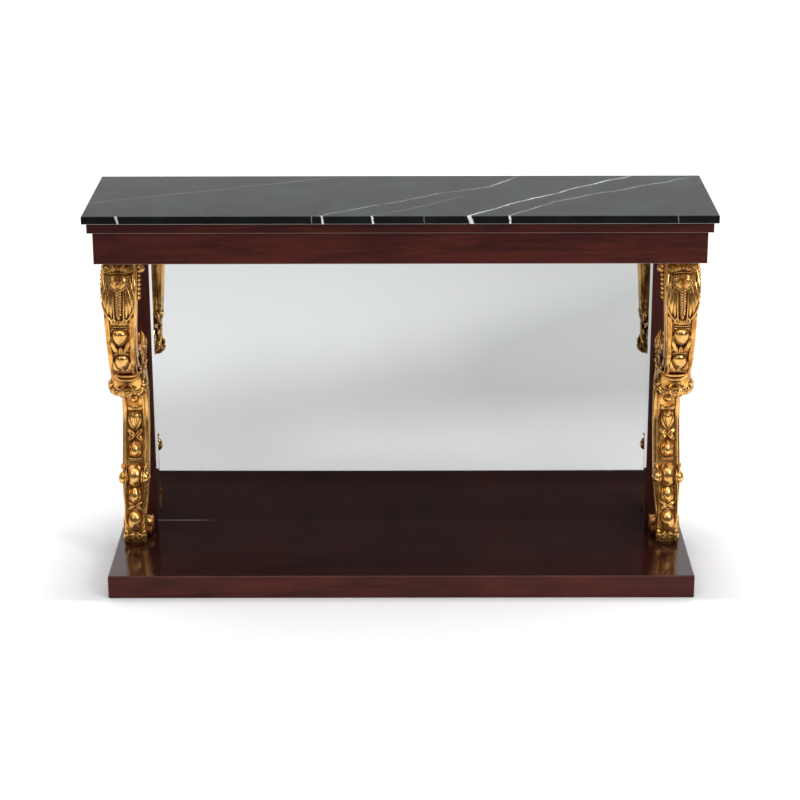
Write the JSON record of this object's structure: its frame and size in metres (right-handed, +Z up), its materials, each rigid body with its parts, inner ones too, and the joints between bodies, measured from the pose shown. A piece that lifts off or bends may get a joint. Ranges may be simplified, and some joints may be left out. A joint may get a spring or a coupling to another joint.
{
  "type": "pier table",
  "caption": "Wall-standing pier table: veined marble slab on a mahogany frieze, mirror back, low mahogany plinth and carved gilt double-scroll legs, for display between windows.",
  "frame": {"origin": "middle of the footprint on the floor", "axes": "+X along the table's width to its right, +Y towards the wall behind it, +Z up; the front faces -Y"},
  "size_m": [1.4, 0.38, 0.91],
  "materials": {
    "black_marble": "polished, white veins",
    "mahogany": "french polished, dark red",
    "carcass_wood": "planed, unfinished",
    "backing_board": "plain plywood",
    "silvered_mirror": "silvered glass",
    "gilt_carving": "carved and water gilt, toned recesses",
    "beech_dowel": "plain",
    "brass_screw": "satin"
  },
  "bodies": {
    "root": {"backing_screws": "brass_screw", "dowels": "beech_dowel", "frieze_back": "carcass_wood", "frieze_bearer_centre": "carcass_wood", "frieze_bearer_left": "carcass_wood", "frieze_bearer_right": "carcass_wood", "frieze_front": "mahogany", "frieze_glue_blocks": "carcass_wood", "frieze_left": "mahogany", "frieze_right": "mahogany", "ledge_front": "mahogany", "ledge_left": "mahogany", "ledge_right": "mahogany", "left_leg_collar": "gilt_carving", "left_leg_foot_block": "carcass_wood", "left_leg_foot_roll": "gilt_carving", "left_leg_hair_locks": "gilt_carving", "left_leg_head_block": "carcass_wood", "left_leg_head_roll": "gilt_carving", "left_leg_knob": "gilt_carving", "left_leg_knob_band": "gilt_carving", "left_leg_leaf_sprays": "gilt_carving", "left_leg_lower_husks": "gilt_carving", "left_leg_lower_scroll": "gilt_carving", "left_leg_mask": "gilt_carving", "left_leg_plaited_beard": "gilt_carving", "left_leg_upper_husks": "gilt_carving", "left_leg_upper_scroll": "gilt_carving", "marble_top": "black_marble", "mirror_backing": "backing_board", "mirror_plate": "silvered_mirror", "plinth_back": "carcass_wood", "plinth_bearer_centre": "carcass_wood", "plinth_bearer_left": "carcass_wood", "plinth_bearer_right": "carcass_wood", "plinth_front": "mahogany", "plinth_glue_blocks": "carcass_wood", "plinth_left": "mahogany", "plinth_right": "mahogany", "plinth_top": "mahogany", "right_leg_collar": "gilt_carving", "right_leg_foot_block": "carcass_wood", "right_leg_foot_roll": "gilt_carving", "right_leg_hair_locks": "gilt_carving", "right_leg_head_block": "carcass_wood", "right_leg_head_roll": "gilt_carving", "right_leg_knob": "gilt_carving", "right_leg_knob_band": "gilt_carving", "right_leg_leaf_sprays": "gilt_carving", "right_leg_lower_husks": "gilt_carving", "right_leg_lower_scroll": "gilt_carving", "right_leg_mask": "gilt_carving", "right_leg_plaited_beard": "gilt_carving", "right_leg_upper_husks": "gilt_carving", "right_leg_upper_scroll": "gilt_carving", "soffit_board": "carcass_wood", "stile_left": "mahogany", "stile_right": "mahogany", "sub_top_board": "carcass_wood"}
  },
  "joints": []
}
